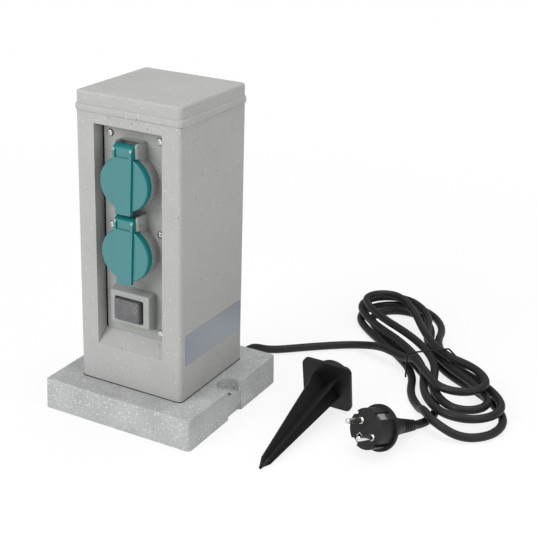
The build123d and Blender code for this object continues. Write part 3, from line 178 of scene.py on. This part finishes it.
def plastic(name, colour, roughness, grain_size=1.0, colour_spread=0.1, roughness_spread=0.08, height=0.02,
            spots=(), **finish):
    """A material whose colour, roughness and surface come from the surface grain. Spots (colour,
    spacing, radius, share in mm) lie over the colour, and finish sets the shader's other sockets."""
    made = bpy.data.materials.new(name)
    made.use_nodes = True
    tree = made.node_tree
    shader = tree.nodes["Principled BSDF"]
    surface = use_group(tree, grain, Colour=(*colour, 1), Grain_Size=grain_size, Colour_Spread=colour_spread,
                        Roughness=roughness, Roughness_Spread=roughness_spread, Height=height)
    shade = surface.outputs["Colour"]
    for spot_colour, spacing, radius, share in spots:
        spot = use_group(tree, flecks, Spacing=spacing, Radius=radius, Share=share)
        over = tree.nodes.new("ShaderNodeMix")
        over.data_type = "RGBA"
        tree.links.new(spot.outputs["Mask"], over.inputs["Factor"])
        tree.links.new(shade, over.inputs["A"])
        over.inputs["B"].default_value = (*spot_colour, 1)
        shade = over.outputs["Result"]
    tree.links.new(shade, shader.inputs["Base Color"])
    tree.links.new(surface.outputs["Roughness"], shader.inputs["Roughness"])
    tree.links.new(surface.outputs["Normal"], shader.inputs["Normal"])
    for label, value in finish.items():
        shader.inputs[label.replace("_", " ")].default_value = value
    return made


def dress(made, *names):
    """Gives CAD nodes a material."""
    for name in names:
        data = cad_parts[name].data
        data.materials.clear()
        data.materials.append(made)


white_fleck = (0.85, 0.85, 0.83)
pale_fleck = (0.58, 0.58, 0.57)
dark_fleck = (0.03, 0.03, 0.03)
post_stone = plastic(
    "stone plastic", (0.378, 0.378, 0.366), 0.62, grain_size=2.5, colour_spread=0.16, height=0.05,
    spots=[(pale_fleck, 1.8, 0.36, 0.35), (white_fleck, 2.9, 0.46, 0.2), (dark_fleck, 10.0, 0.62, 0.7)])
plinth_stone = plastic(
    "speckled stone plastic", (0.378, 0.385, 0.385), 0.6, grain_size=1.9, colour_spread=0.55, height=0.12,
    spots=[(pale_fleck, 1.15, 0.36, 0.6), (white_fleck, 2.1, 0.56, 0.36), (dark_fleck, 9.0, 0.6, 0.7)])
dress(post_stone, "post", "top_cap")
dress(plinth_stone, "plinth")

# Joint line: a thin black foam seal squeezed out all round between the post's foot and the plinth.
# It is a round bead carried along a square with round corners, just past the foot's faces.
black = plastic("black moulding", (0.005, 0.005, 0.005), 0.5, grain_size=0.9, colour_spread=0.4, height=0.03,
                Specular_IOR_Level=0.32)
crease_angle = radians(35)


def swept(name, path, outward, profile, closed, made, body):
    """A solid whose cross-section is carried along a path. Each ring is path + across * outward +
    along * (outward x run), where (across, along) is the profile and run the path's direction."""
    path = np.array(path, float)
    outward = np.broadcast_to(np.array(outward, float), path.shape)
    run = np.roll(path, -1, 0) - np.roll(path, 1, 0) if closed else np.gradient(path, axis=0)
    run /= np.linalg.norm(run, axis=1)[:, None]
    aside = np.cross(outward, run)
    profile = np.array(profile, float)
    points = path[:, None] + profile[None, :, :1] * outward[:, None] + profile[None, :, 1:] * aside[:, None]
    rings, around = len(path), len(profile)
    ring = np.arange(rings if closed else rings - 1)[:, None]
    spot = np.arange(around)[None]
    here, ahead = ring * around, (ring + 1) % rings * around
    beside = (spot + 1) % around
    faces = np.stack((here + spot, ahead + spot, ahead + beside, here + beside), -1).reshape(-1, 4).tolist()
    if not closed:
        faces += [list(range(around)), list(range(rings * around - 1, (rings - 1) * around - 1, -1))]
    data = bpy.data.meshes.new(name)
    data.from_pydata((points.reshape(-1, 3) * mm).tolist(), [], faces)
    data.shade_smooth()
    data.set_sharp_from_angle(angle=crease_angle)
    piece = bpy.data.objects.new(name, data)
    bpy.context.scene.collection.objects.link(piece)
    data.materials.append(made)
    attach(piece, body)
    return piece


def disc_profile(radius, count=8):
    """A round cross-section: radius times the cosine and the sine of evenly spaced turns."""
    turn = np.linspace(0, 2 * pi, count, endpoint=False)
    return np.column_stack((np.cos(turn), np.sin(turn))) * radius


def square_path(half, corner, level, steps=6):
    """A square with round corners, and the way outward at each of its points. Each point is its
    corner's centre plus the corner radius times the cosine and sine of its turn, a quarter each."""
    turn = np.radians(np.concatenate([np.linspace(k * 90, k * 90 + 90, steps) for k in range(4)]))
    way = np.column_stack((np.cos(turn), np.sin(turn), np.zeros(len(turn))))
    quarter = turn.reshape(4, steps).mean(1)
    signs = np.column_stack((np.sign(np.cos(quarter)), np.sign(np.sin(quarter)), np.zeros(4)))
    centre = np.repeat(signs * (half - corner), steps, 0)
    return centre + way * corner + np.array((0, 0, level)), way


foot_seal_r = 0.42
foot_seal_past = 0.05
foot_corner = 4.5
post_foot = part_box("post")[0]
foot_half = -post_foot[0] / mm
foot_level = post_foot[2] / mm
foot_path, foot_way = square_path(foot_half + foot_seal_past, foot_corner, foot_level + foot_seal_r)
swept("foot_seal", foot_path, foot_way, disc_profile(foot_seal_r), True, black, "housing")

# Front panel with its collars and switch surround: fine matt grey mouldings, held by five screws,
# with a few dark specks. A black strip down each side of the panel is painted shade: it fills the gap
# between the panel's edge and the window's side, where only shade falls.
dark_speck = (0.02, 0.02, 0.02)
grey = plastic("grey front plastic", (0.315, 0.325, 0.314), 0.5, grain_size=1.2,
               spots=[(dark_speck, 6.5, 0.62, 0.8), (pale_fleck, 4.0, 0.4, 0.4)])
dress(grey, "front_panel", "outlet_collar_lower", "outlet_collar_upper", "switch_bezel")

# Painted shade: a black strip in each side gap beside the panel, where the gap falls dark
strip_x = 33.75
strip_y = -40.6
strip_foot = 80.8
strip_head = 276.7
strip_steps = 12
half_wide = 1.05
half_deep = 0.9
strip_profile = [(x * half_wide, y * half_deep) for x, y in ((-1, -1), (1, -1), (1, 1), (-1, 1))]
for side, name in ((-1, "panel_gap_shade_left"), (1, "panel_gap_shade_right")):
    strip_path = [(side * strip_x, strip_y, z) for z in np.linspace(strip_foot, strip_head, strip_steps)]
    swept(name, strip_path, (side, 0, 0), strip_profile, False, black, "housing")

# Lids: teal plastic, each with a raised strap and a shallow pocket at its hinge. Their fronts carry
# painted sheen: a clear coat laid only on faces turned to the front shows the studio's light there as a
# haze, and the sides and tops get none.
teal = plastic("teal lid plastic", (0.0, 0.166, 0.17), 0.42, grain_size=1.5, colour_spread=0.07,
               roughness_spread=0.06, height=0.008, Coat_IOR=1.75, Coat_Roughness=0.24,
               Specular_IOR_Level=0.3)
# Painted sheen: the coat's weight follows how far each face turns to the front, so only the fronts get the
# haze
front_starts = -0.6
front_full = -0.95
teal_tree = teal.node_tree
lid_facing = teal_tree.nodes.new("ShaderNodeSeparateXYZ")
teal_tree.links.new(teal_tree.nodes.new("ShaderNodeTexCoord").outputs["Normal"], lid_facing.inputs["Vector"])
painted_front_sheen = blend(teal_tree, lid_facing.outputs["Y"], front_starts, front_full, 0.0, 1.0)
teal_tree.links.new(painted_front_sheen, teal_tree.nodes["Principled BSDF"].inputs["Coat Weight"])
dress(teal, "lid_lower", "lid_upper")

soft_rubber = plastic("gasket rubber", (0.012, 0.012, 0.013), 0.7, height=0.03)
dress(soft_rubber, "lid_gasket_lower", "lid_gasket_upper")

# Screws and springs: zinc-plated steel, the screws turned and rolled, the springs wound. Round each
# panel screw's pan head a thin black bead laid on the panel is painted shade, for the dark gap there.
steel = plastic("screw steel", (0.66, 0.66, 0.64), 0.3, grain_size=0.5, colour_spread=0.12, Metallic=1)
dress(steel, "panel_screws", "base_screws", "post_screws", "clamp_screws", "terminal_screws",
      "carrier_screws_lower", "carrier_screws_upper", "lid_spring_lower", "lid_spring_upper",
      "earth_spring_lower", "earth_spring_upper")

panel_front = -42.5
panel_screw_places = ((25.7, 88.0), (-25.7, 182.99), (25.7, 182.99), (-25.7, 267.5), (25.7, 267.5))
shade_ring_r = 3.05
shade_ring_bead = 0.32
bead_past = 0.1
ring_steps = 24
ring_turn = np.linspace(0, 2 * pi, ring_steps, endpoint=False)
ring_way = np.column_stack((np.cos(ring_turn), np.zeros(ring_steps), np.sin(ring_turn)))
# Painted shade: each black bead stands for the dark gap round a screw head
for number, (x, z) in enumerate(panel_screw_places):
    shade_ring_path = ring_way * shade_ring_r + np.array((x, panel_front - bead_past, z))
    swept("screw_ring_%d" % (number + 1), shade_ring_path, ring_way, disc_profile(shade_ring_bead), True, black,
          "housing")

# Hinge pins, outlet contacts and switch blades: plain brass, the pins cut from drawn rod and the
# contacts and blades stamped from strip.
brass = plastic("brass", (0.72, 0.55, 0.24), 0.32, grain_size=0.6, colour_spread=0.15, Metallic=1)
dress(brass, "hinge_pin_lower", "hinge_pin_upper", "pin_contacts_lower", "pin_contacts_upper",
      "switch_blades")

# Switch: a dark rocker with raised on and off marks, moulded in hard plastic and clipped into its
# black body, under a soft boot of smoky clear plastic that keeps the rain out.
dress(black, "switch_body", "contact_carrier_lower", "contact_carrier_upper")
rocker_grey = plastic("rocker plastic", (0.09, 0.09, 0.095), 0.4, grain_size=0.8, colour_spread=0.2)
dress(rocker_grey, "switch_rocker")
smoke = plastic("smoky boot", (0.2, 0.2, 0.21), 0.3, grain_size=2.5, colour_spread=0.3, roughness_spread=0.2,
                height=0.05, Alpha=0.45, Coat_Weight=0.4, Coat_Roughness=0.15)
dress(smoke, "switch_boot")

mark_white = plastic("mark white", (0.8, 0.8, 0.8), 0.5, grain_size=0.5)
rocker_x = -0.9
rocker_level = 108.9
rocker_half = 9.2
valley_y = -51.4
slope_rise = 1.2
mark_place = 4.6
mark_half_height = 2.6
mark_half_width = 2.3
bar_bead = 0.42
circle_bead = 0.38
bar_steps = 6


def rocker_face(x):
    """The rocker's front, in from its marks: two slopes that meet in a shallow valley at its middle,
    valley less slope rise times the distance from the middle over half the width."""
    return valley_y - slope_rise * np.abs(x - rocker_x) / rocker_half


bar_x = rocker_x - mark_place
bar_levels = np.linspace(rocker_level - mark_half_height, rocker_level + mark_half_height, bar_steps)
bar_path = [(bar_x, rocker_face(bar_x) - bead_past, z) for z in bar_levels]
swept("rocker_mark_on", bar_path, (1, 0, 0), disc_profile(bar_bead, count=12), False, mark_white, "rocker")
circle_x = rocker_x + mark_place + mark_half_width * np.cos(ring_turn)
circle_z = rocker_level + mark_half_height * np.sin(ring_turn)
circle_path = np.column_stack((circle_x, rocker_face(circle_x) - bead_past, circle_z))
swept("rocker_mark_off", circle_path, ring_way, disc_profile(circle_bead), True, mark_white, "rocker")

# Label: a thin blank plate of silver foil, cut to size and glued to the post's right side, low
# down. It has a soft metal sheen.
foil = plastic("label foil", (0.30, 0.335, 0.37), 0.38, grain_size=3.0, colour_spread=0.12, Metallic=0.35)
dress(foil, "side_label")

# Ground spike and cable gland: satin black plastic. The spike is moulded in one with its plate and
# boss and lies loose, and the gland is screwed through the plinth's back.
dress(black, "ground_spike", "cable_gland")

# Inside: plain grey mouldings screwed to the plinth and the panel, and the cord's three wires in
# their brown, blue and green sleeves.
inner_grey = plastic("plain grey moulding", (0.3, 0.3, 0.3), 0.55)
dress(inner_grey, "base_plate", "cord_clamp", "terminal_block", "gland_nut")
wire_colours = {"live": (0.25, 0.13, 0.06), "neutral": (0.05, 0.15, 0.5), "earth": (0.2, 0.45, 0.1)}
for name, colour in wire_colours.items():
    dress(plastic("wire " + name, colour, 0.4), "wire_" + name)

# Cord: three metres of round rubber flex. It leaves the gland at the plinth's back, lies over the
# floor, is wound into a long hank of four loops each side of a waist, and comes back to the plug.
cord_r = 4.1
strand_gap = 0.8
strand_pitch = 2 * cord_r + strand_gap
hank_place = np.array((196.0, 190.0, cord_r))
hank_heading = radians(-46.0)
hank_u = np.array((cos(hank_heading), sin(hank_heading), 0))
hank_v = np.array((-sin(hank_heading), cos(hank_heading), 0))

gland_lead = [
    (34, 100, 12), (34, 111, 12), (36.9, 120.4, 9.4), (43.7, 128.4, 5.6), (53, 137.3, 4.2),
    (66, 149.5, 4.1), (83, 165, 4.1), (102, 181, 4.1), (116, 188.5, 5), (129.5, 189.6, 7.6),
    (142, 186.9, 11), (154.4, 182.1, 13.5),
]
plug_lead = [
    (241.6, 104.7, 4.1), (243.8, 91, 4.1), (242.5, 78, 4.1), (237.74, 67.05, 4.1), (235.44, 60.26, 6.31),
]
# Reach, left and right edge, level of each far loop; left, end and right place of each near loop
far_loops = [(130, -20, 40, 0), (147, -31, 54, 0), (150, -27, 41, 1), (140, -22, 22, 2)]
near_loops = [
    ((115, -46, 1), (151, -11, 0), (108, 31, 0)),
    ((100.5, -34, 1), (134, -0.5, 1), (100.5, 33, 1)),
    ((94.5, -22, 1), (117, 0.5, 1), (94.5, 23, 1)),
    ((72, -22, 2), (98, 4, 2), (72, 30, 2)),
]
waist_out = [(0, -11.5, 0), (0, -21, 0), (0, -11.5, 1), (0, 1, 1.5)]
waist_back = [(0, 12, 0), (0, 23, 0.5), (0, 11.5, 1), (0, 10.5, 2)]
# Place and heading in degrees where the hank starts, comes in after its first loops, and ends
first_key = ((60, -15, 0), 165)
inner_key = ((80, -42, 0), 176)
last_keys = [((30, -21.5, 2), 180), ((-4, -26.5, 1.0444), 205)]
least_closing = 1e-9
straight_under = 1e-6


def hank_keys():
    """Places (along, across, level) and headings in degrees of the hank, from the plug's side."""
    keys = [first_key]
    for out, far, back, near in zip(waist_out, far_loops, waist_back, near_loops):
        reach, left, right, level = far
        bend = (right - left) / 2
        keys += [(out, 180), ((bend - reach, left, level), 180), ((-reach, (left + right) / 2, level), 90),
                 ((bend - reach, right, level), 0), (back, 0), (near[2], 0), (near[1], -90), (near[0], 180)]
        if near is near_loops[0]:
            keys.append(inner_key)
    return keys + last_keys


def hank_points():
    """Two points between each key and the next: each lies on its key's line of travel, as far
    from the key as the two are from each other, so the spline passes the keys along those lines."""
    keys = hank_keys()
    places = np.array([place for place, turn in keys], float)
    turns = np.radians([turn for place, turn in keys])
    places[:, 2] *= strand_pitch
    ways = np.column_stack((np.cos(turns), np.sin(turns), np.zeros(len(keys))))
    chord = places[1:] - places[:-1]
    span = (chord ** 2).sum(1)
    slope = (chord * (ways[1:] + ways[:-1])).sum(1)
    closing = np.maximum(1 - (ways[1:] * ways[:-1]).sum(1), least_closing)
    reach = (np.sqrt(slope ** 2 + 2 * closing * span) - slope) / (2 * closing)
    straight = closing < straight_under
    reach[straight] = span[straight] / (2 * slope[straight])
    ahead = places[:-1] + ways[:-1] * reach[:, None]
    behind = places[1:] - ways[1:] * reach[:, None]
    local = np.concatenate((places[:1], np.stack((ahead, behind), 1).reshape(-1, 3), places[-1:]))
    return hank_place + local[:, :1] * hank_u + local[:, 1:2] * hank_v + local[:, 2:] * np.array((0, 0, 1))


def curve_piece(name, points, radius, around_steps=6, along_steps=8):
    """A round strand: a circle of the radius carried along one open spline of order 3 that starts and
    ends at the first and last of these points, in mm, and is drawn towards the others."""
    data = bpy.data.curves.new(name, "CURVE")
    data.dimensions = "3D"
    data.bevel_depth = radius * mm
    data.bevel_resolution = around_steps
    data.resolution_u = along_steps
    data.use_fill_caps = True
    line = data.splines.new("NURBS")
    line.points.add(len(points) - 1)
    line.points.foreach_set("co", np.column_stack((np.array(points) * mm, np.ones(len(points)))).ravel())
    line.order_u = 3
    line.use_endpoint_u = True
    piece = bpy.data.objects.new(name, data)
    bpy.context.scene.collection.objects.link(piece)
    return piece


rubber = plastic("cord rubber", (0.011, 0.0115, 0.0115), 0.5, grain_size=4.0, colour_spread=0.3,
                 roughness_spread=0.1, height=0.02, Specular_IOR_Level=0.32)
dress(rubber, "cord_inside")
cord_route = np.concatenate((np.array(gland_lead, float), hank_points()[::-1], np.array(plug_lead, float)))
cord = curve_piece("cord", cord_route, cord_r)
cord.data.materials.append(rubber)
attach(cord, "housing")
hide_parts("cord_lead", "cord_hank", "cord_plug_lead")

# Plug: matt black rubber moulded round two nickel-plated pins, its earth strips and earth sleeve.
# A bright ring shows where each pin comes out of the face.
dress(rubber, "plug_body")
plated = plastic("nickel plate", (0.8, 0.79, 0.77), 0.2, grain_size=0.8, Metallic=1)
dress(plated, "plug_pins", "plug_earth_strips", "plug_earth_sleeve")
plug_face = np.array((214.6, -1.3, 26.3))
plug_heading, plug_lift, plug_roll = np.radians((-108.7, 17.1, 149.6))
pins_way = np.array((cos(plug_heading) * cos(plug_lift), sin(plug_heading) * cos(plug_lift), sin(plug_lift)))
plug_level_way = np.array((-sin(plug_heading), cos(plug_heading), 0))
plug_row = plug_level_way * cos(plug_roll) + np.cross(pins_way, plug_level_way) * sin(plug_roll)
plug_third = np.cross(pins_way, plug_row)
pin_place = 9.5
pin_ring_r = 2.85
pin_ring_bead = 0.4
pin_ring_way = np.cos(ring_turn)[:, None] * plug_row + np.sin(ring_turn)[:, None] * plug_third
for side, name in ((-1, "pin_ring_left"), (1, "pin_ring_right")):
    pin_foot = plug_face + side * pin_place * plug_row + bead_past * pins_way
    swept(name, pin_foot + pin_ring_r * pin_ring_way, pin_ring_way, disc_profile(pin_ring_bead), True,
          plated, "housing")

# Tie: a thin steel wire in a black coat, bent by hand over the waist of the hank, with its two legs
# down to the floor.
dress(black, "cord_tie")

# The studio: a white floor that keeps the soft shadow near the object and is plain white further
# off, and three large soft lamps under a pale sky.
floor_reach = 4.0
floor_colour = 0.9
floor_roughness = 0.9
shadow_near = 0.3
shadow_far = 0.9
white_near = 0.8
floor_corners = [(x * floor_reach, y * floor_reach, 0) for x, y in ((-1, -1), (1, -1), (1, 1), (-1, 1))]
floor_data = bpy.data.meshes.new("floor")
floor_data.from_pydata(floor_corners, [], [(0, 1, 2, 3)])
floor = bpy.data.objects.new("floor", floor_data)
bpy.context.scene.collection.objects.link(floor)
paper = bpy.data.materials.new("white paper")
paper.use_nodes = True
paper_tree = paper.node_tree
paper_shader = paper_tree.nodes["Principled BSDF"]
paper_shader.inputs["Base Color"].default_value = (floor_colour, floor_colour, floor_colour, 1)
paper_shader.inputs["Roughness"].default_value = floor_roughness
glow = paper_tree.nodes.new("ShaderNodeEmission")
rays = paper_tree.nodes.new("ShaderNodeLightPath")
away = paper_tree.nodes.new("ShaderNodeVectorMath")
away.operation = "LENGTH"
paper_tree.links.new(paper_tree.nodes.new("ShaderNodeTexCoord").outputs["Object"], away.inputs[0])
far_white = blend(paper_tree, away.outputs["Value"], shadow_near, shadow_far, white_near, 1.0)
seen_white = maths(paper_tree, "MULTIPLY", rays.outputs["Is Camera Ray"], far_white)
mirrored = maths(paper_tree, "MAXIMUM", rays.outputs["Is Glossy Ray"], rays.outputs["Is Transmission Ray"])
both = paper_tree.nodes.new("ShaderNodeMixShader")
paper_tree.links.new(maths(paper_tree, "MAXIMUM", seen_white, mirrored), both.inputs["Fac"])
paper_tree.links.new(paper_shader.outputs["BSDF"], both.inputs[1])
paper_tree.links.new(glow.outputs["Emission"], both.inputs[2])
paper_tree.links.new(both.outputs["Shader"], paper_tree.nodes["Material Output"].inputs["Surface"])
floor_data.materials.append(paper)

post_middle = (0, 0, 0.15)


def soft_lamp(name, place, size, power):
    """A square soft lamp at a place, turned to the post's middle."""
    data = bpy.data.lights.new(name, "AREA")
    data.size = size
    data.energy = power
    lamp = bpy.data.objects.new(name, data)
    backward = np.array(place, float) - np.array(post_middle, float)
    backward /= np.linalg.norm(backward)
    sideways = np.cross((0, 0, 1), backward)
    sideways /= np.linalg.norm(sideways)
    turned = np.eye(4)
    turned[:3] = np.column_stack((sideways, np.cross(backward, sideways), backward, place))
    lamp.matrix_world = Matrix(turned)
    bpy.context.scene.collection.objects.link(lamp)


soft_lamp("front lamp", place=(-0.7, -1.6, 1.1), size=1.2, power=28)
soft_lamp("right lamp", place=(1.7, -0.5, 0.9), size=1.2, power=9.6)
soft_lamp("top lamp", place=(0.2, 0.4, 1.9), size=1.4, power=19)

sky_light = 0.36
world = bpy.data.worlds.new("studio")
bpy.context.scene.world = world
world.use_nodes = True
sky = world.node_tree.nodes["Background"]
sky.inputs["Color"].default_value = (1, 1, 1, 1)
sky_rays = world.node_tree.nodes.new("ShaderNodeLightPath")
sky_strength = blend(world.node_tree, sky_rays.outputs["Is Camera Ray"], 0.0, 1.0, sky_light, 1.0)
world.node_tree.links.new(sky_strength, sky.inputs["Strength"])
bpy.context.scene.view_settings.view_transform = "Standard"
